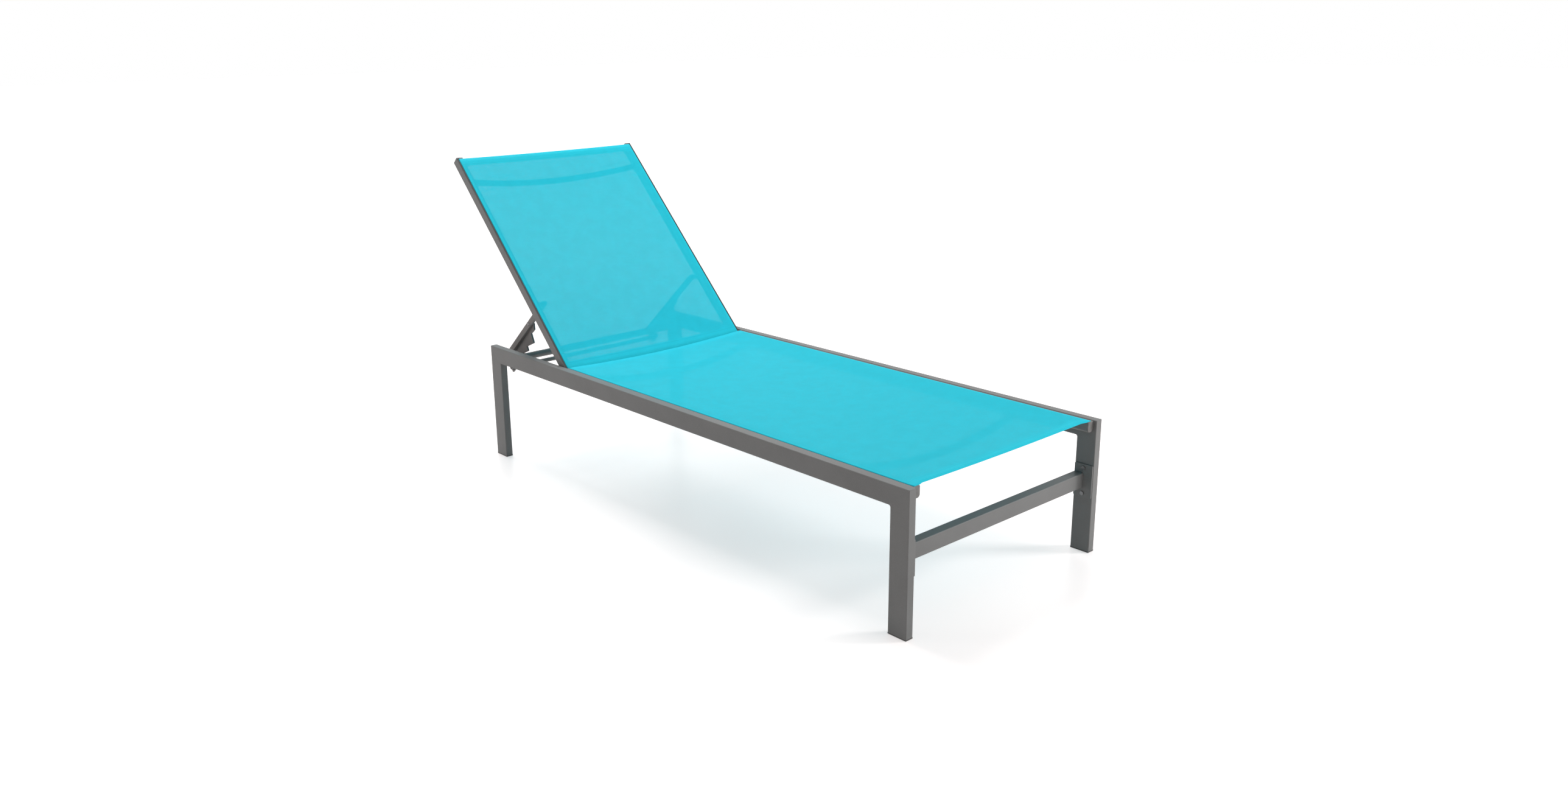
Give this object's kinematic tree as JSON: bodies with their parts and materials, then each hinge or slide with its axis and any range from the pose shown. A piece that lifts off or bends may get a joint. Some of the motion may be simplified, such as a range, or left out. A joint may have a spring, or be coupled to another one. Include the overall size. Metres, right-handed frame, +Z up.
{
  "type": "chaise lounge",
  "caption": "Sling chaise lounge: rectangular tube base on legs, woven fabric seat, and a hinged fabric back held up by a toothed prop frame on a cross tube",
  "frame": {"origin": "on the floor, at the middle of the lounge's width and of its overall length with the back raised", "axes": "X across the lounge, foot end at -Y, head end at +Y, +Z up"},
  "size_m": [0.64, 1.7056, 0.8177],
  "materials": {
    "grey_coat": "satin textured powder coat",
    "dark_coat": "satin powder coat",
    "steel_fasteners": "satin",
    "grey_plastic": "matte, in the frame's colour",
    "dark_plastic": "matte",
    "spline_plastic": "matte",
    "sling_fabric": "woven coated yarn mesh"
  },
  "bodies": {
    "base": {"catch_tube": "dark_coat", "foot_caps": "dark_plastic", "front_leg_left": "grey_coat", "front_leg_right": "grey_coat", "front_stretcher": "grey_coat", "hinge_bolts": "steel_fasteners", "hinge_nuts": "steel_fasteners", "hinge_washers": "steel_fasteners", "rear_leg_left": "grey_coat", "rear_leg_right": "grey_coat", "seat_brace_front": "dark_coat", "seat_brace_rear": "dark_coat", "seat_brace_screws": "steel_fasteners", "seat_rail_bolts": "steel_fasteners", "seat_rail_caps": "grey_plastic", "seat_rail_left": "grey_coat", "seat_rail_right": "grey_coat", "seat_sling": "sling_fabric", "seat_splines": "spline_plastic", "side_rail_left": "grey_coat", "side_rail_right": "grey_coat", "stretcher_flanges": "grey_coat", "stretcher_screws": "steel_fasteners"},
    "back": {"back_brace": "dark_coat", "back_brace_screws": "steel_fasteners", "back_rail_caps": "grey_plastic", "back_rail_left": "grey_coat", "back_rail_right": "grey_coat", "back_sling": "sling_fabric", "back_splines": "spline_plastic", "prop_pivot_bolts": "steel_fasteners", "prop_pivot_bushes": "dark_plastic", "prop_pivot_nuts": "steel_fasteners"},
    "prop": {"plate_rivets": "steel_fasteners", "prop_arm_left": "dark_coat", "prop_arm_right": "dark_coat", "ratchet_plate_left": "dark_coat", "ratchet_plate_right": "dark_coat", "tie_rod": "dark_coat", "tie_rod_nuts": "steel_fasteners"}
  },
  "joints": [
    {"name": "back_hinge", "type": "hinge", "parent": "base", "child": "back", "pos_m": [0, 0.34545, 0.302], "axis": [1, 0, 0], "range_deg": [-45.5, 0]},
    {"name": "prop_pivot", "type": "hinge", "parent": "back", "child": "prop", "pos_m": [0, 0.49731, 0.4514], "axis": [1, 0, 0], "range_deg": [0, 88.05]}
  ],
  "couplings": [
    {"joint": "prop_pivot", "follows": "back_hinge", "ratio": -1.9341}
  ]
}
